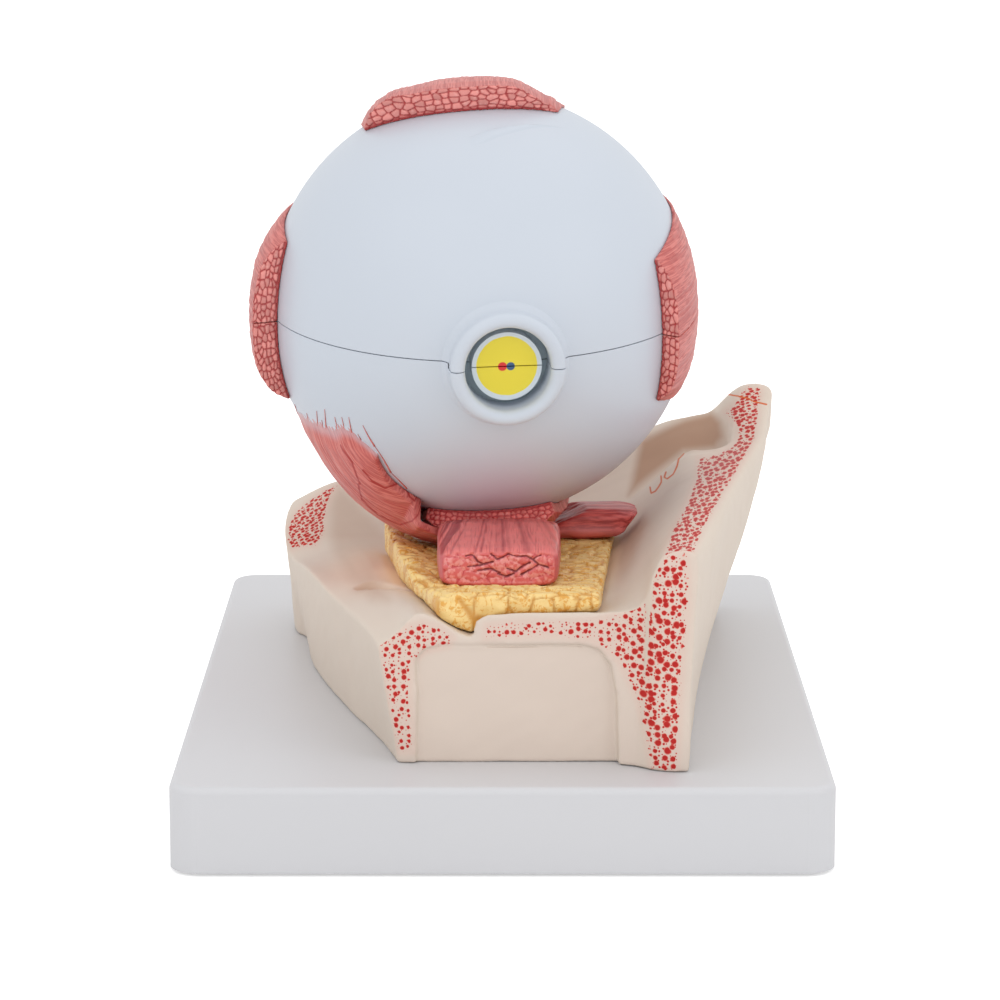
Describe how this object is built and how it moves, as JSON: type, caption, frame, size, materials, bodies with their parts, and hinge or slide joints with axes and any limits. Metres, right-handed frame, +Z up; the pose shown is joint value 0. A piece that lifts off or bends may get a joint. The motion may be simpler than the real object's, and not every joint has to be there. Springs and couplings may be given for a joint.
{
  "type": "eye anatomy model",
  "caption": "Teaching model of an enlarged eyeball that comes apart in layers, resting in a section of bony orbit on a base board.",
  "frame": {"origin": "middle of the base board's footprint, on the surface it stands on", "axes": "+X to the eye's nasal side, +Y from the optic nerve toward the cornea, along the board's long side, +Z up"},
  "size_m": [0.182, 0.263, 0.2065],
  "materials": {
    "board_white": "satin moulded white",
    "plate_grey": "matt",
    "rubber": "matt",
    "screw_steel": "zinc plated",
    "bone": "matt painted bone",
    "fat": "satin yellow with ochre strokes",
    "muscle": "gloss painted muscle",
    "muscle_dark": "gloss painted muscle, darker",
    "sclera": "gloss bluish white",
    "tendon": "gloss white",
    "cornea_clear": "clear",
    "choroid": "painted vessels",
    "ciliary": "matt brown",
    "iris": "painted blue",
    "nerve": "gloss yellow",
    "vitreous_clear": "clear",
    "lens_clear": "clear, slightly yellow",
    "peg": "matt white"
  },
  "bodies": {
    "stand": {"base_shell": "board_white", "base_plate": "plate_grey", "plate_screw_1": "screw_steel", "plate_screw_2": "screw_steel", "plate_screw_3": "screw_steel", "plate_screw_4": "screw_steel", "rubber_foot_1": "rubber", "rubber_foot_2": "rubber", "rubber_foot_3": "rubber", "rubber_foot_4": "rubber", "orbit_screw_1": "screw_steel", "orbit_screw_2": "screw_steel", "orbit_screw_3": "screw_steel", "bony_orbit": "bone", "orbital_fat": "fat", "inferior_rectus_stump": "muscle", "inferior_oblique_stump": "muscle_dark", "eye_peg": "peg"},
    "eye_lower_shell": {"sclera_lower": "sclera", "cornea_lower": "cornea_clear", "seam_pin_lateral": "screw_steel", "seam_pin_medial": "screw_steel", "lateral_rectus_lower": "muscle", "medial_rectus_lower": "muscle", "inferior_rectus": "muscle", "inferior_oblique": "muscle_dark"},
    "choroid_lower_half": {"choroid_lower": "choroid", "ciliary_body_lower": "ciliary", "iris_lower": "iris", "optic_nerve_lower": "nerve"},
    "vitreous": {"vitreous_body": "vitreous_clear"},
    "crystalline_lens": {"lens": "lens_clear"},
    "choroid_upper_half": {"choroid_upper": "choroid", "ciliary_body_upper": "ciliary", "iris_upper": "iris", "optic_nerve_upper": "nerve"},
    "eye_upper_shell": {"sclera_upper": "sclera", "cornea_upper": "cornea_clear", "lateral_rectus_upper": "muscle", "medial_rectus_upper": "muscle", "superior_rectus": "muscle", "superior_oblique": "tendon"}
  },
  "joints": [
    {"name": "eye_lift", "type": "slide", "parent": "stand", "child": "eye_lower_shell", "axis": [0, 0, 1], "range_m": [0, 0.08]},
    {"name": "choroid_lower_lift", "type": "slide", "parent": "eye_lower_shell", "child": "choroid_lower_half", "axis": [0, -0.1305, 0.9914], "range_m": [0, 0.08]},
    {"name": "vitreous_lift", "type": "slide", "parent": "choroid_lower_half", "child": "vitreous", "axis": [0, -0.1305, 0.9914], "range_m": [0, 0.08]},
    {"name": "lens_lift", "type": "slide", "parent": "vitreous", "child": "crystalline_lens", "axis": [0, -0.1305, 0.9914], "range_m": [0, 0.05]},
    {"name": "choroid_upper_lift", "type": "slide", "parent": "crystalline_lens", "child": "choroid_upper_half", "axis": [0, -0.1305, 0.9914], "range_m": [0, 0.08]},
    {"name": "upper_shell_lift", "type": "slide", "parent": "choroid_upper_half", "child": "eye_upper_shell", "axis": [0, -0.1305, 0.9914], "range_m": [0, 0.09]}
  ]
}
